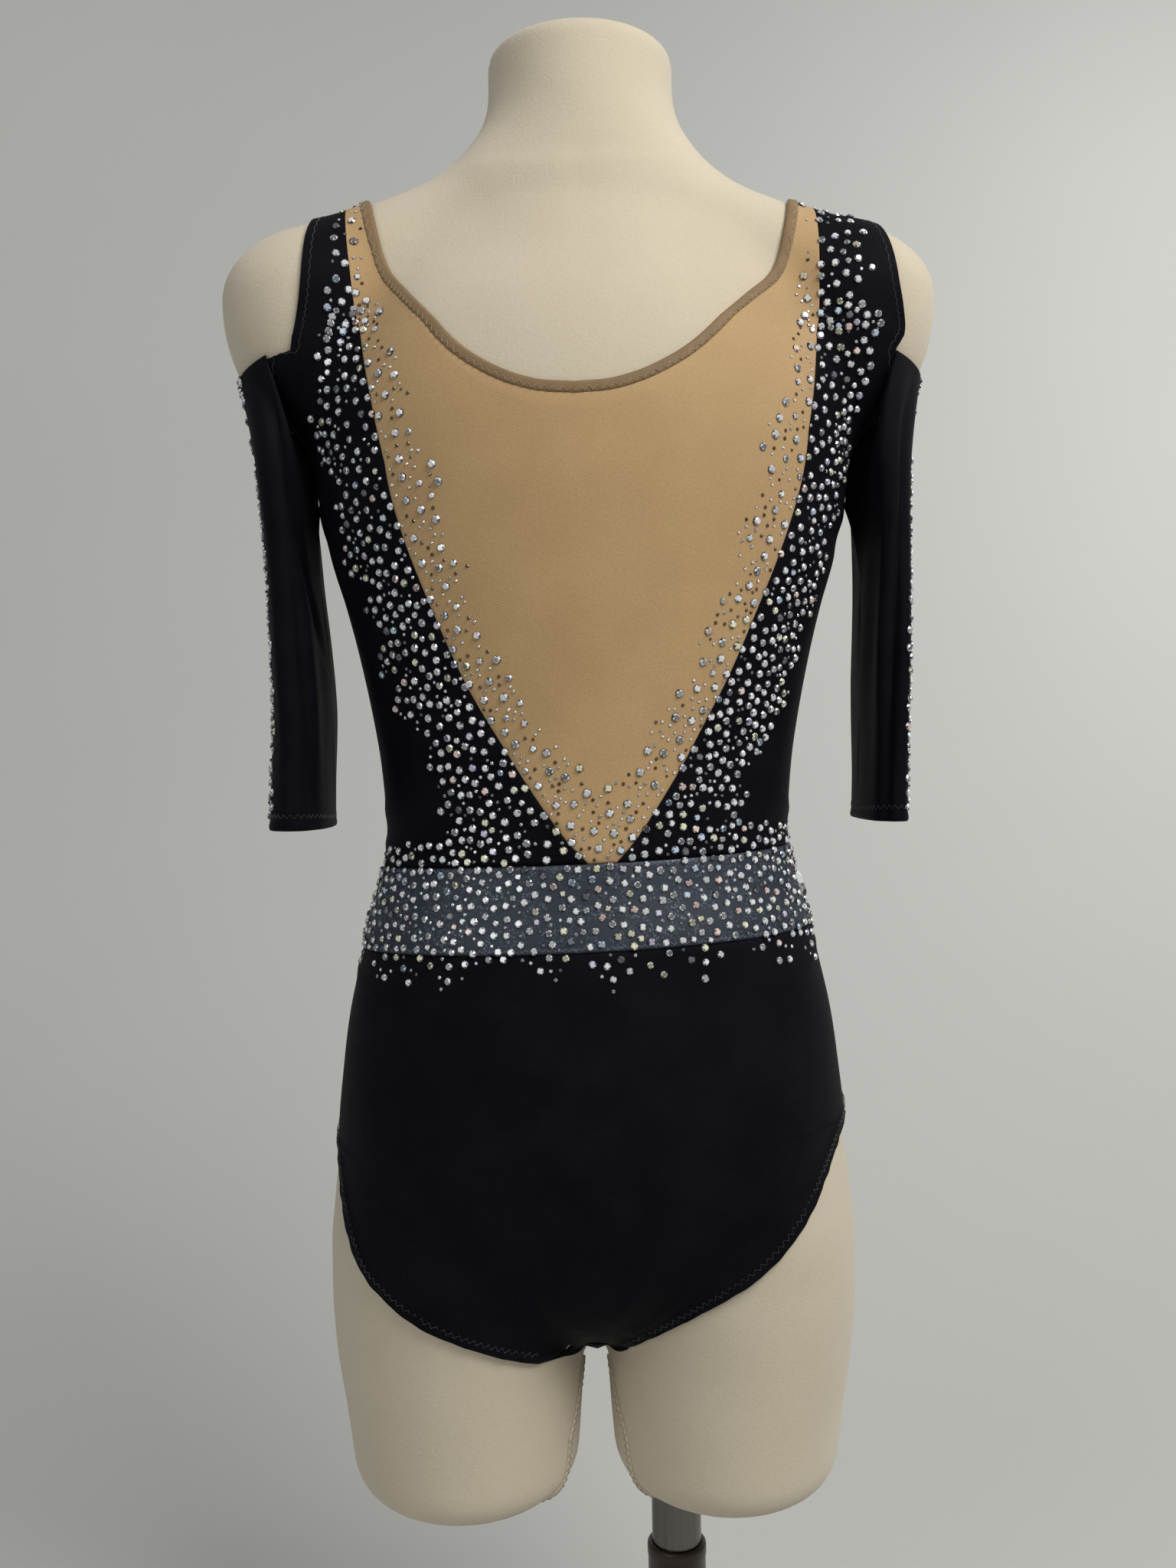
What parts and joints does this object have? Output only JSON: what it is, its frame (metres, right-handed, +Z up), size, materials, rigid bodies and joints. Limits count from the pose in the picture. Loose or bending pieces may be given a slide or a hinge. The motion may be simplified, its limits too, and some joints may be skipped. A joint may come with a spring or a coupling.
{
  "type": "rhythmic gymnastics leotard on a limbless dress form",
  "caption": "Black half-sleeved gymnastics leotard with a sheer V back and a shiny belt, on a cream limbless dress form with a short stand.",
  "frame": {"origin": "middle of the object's box, on the surface that the stand's plate rests on", "axes": "+Z up, the wearer's back faces -Y, the wearer's right side is at +X"},
  "size_m": [0.3994, 0.27, 1.052],
  "materials": {
    "stretch_cloth": "matt sheen stretch knit",
    "sheer_mesh": "fine stretch mesh",
    "neck_tape": "folded elastic binding",
    "belt_cloth": "shiny stretch cloth",
    "form_jersey": "fine jersey cover",
    "rod_steel": "polished tube",
    "stand_dark": "dark bronze lacquer",
    "stone_glass": "cut glass with a foil back"
  },
  "bodies": {
    "root": {"back_mesh_insert": "sheer_mesh", "back_side_left": "stretch_cloth", "back_side_right": "stretch_cloth", "front_bodice": "stretch_cloth", "neck_binding": "neck_tape", "waist_belt": "belt_cloth", "briefs_back": "stretch_cloth", "briefs_front": "stretch_cloth", "gusset": "stretch_cloth", "sleeve_left": "stretch_cloth", "sleeve_right": "stretch_cloth", "dress_form": "form_jersey", "stand_rod": "rod_steel", "stand_tube": "stand_dark", "base_plate": "stand_dark"}
  },
  "joints": []
}
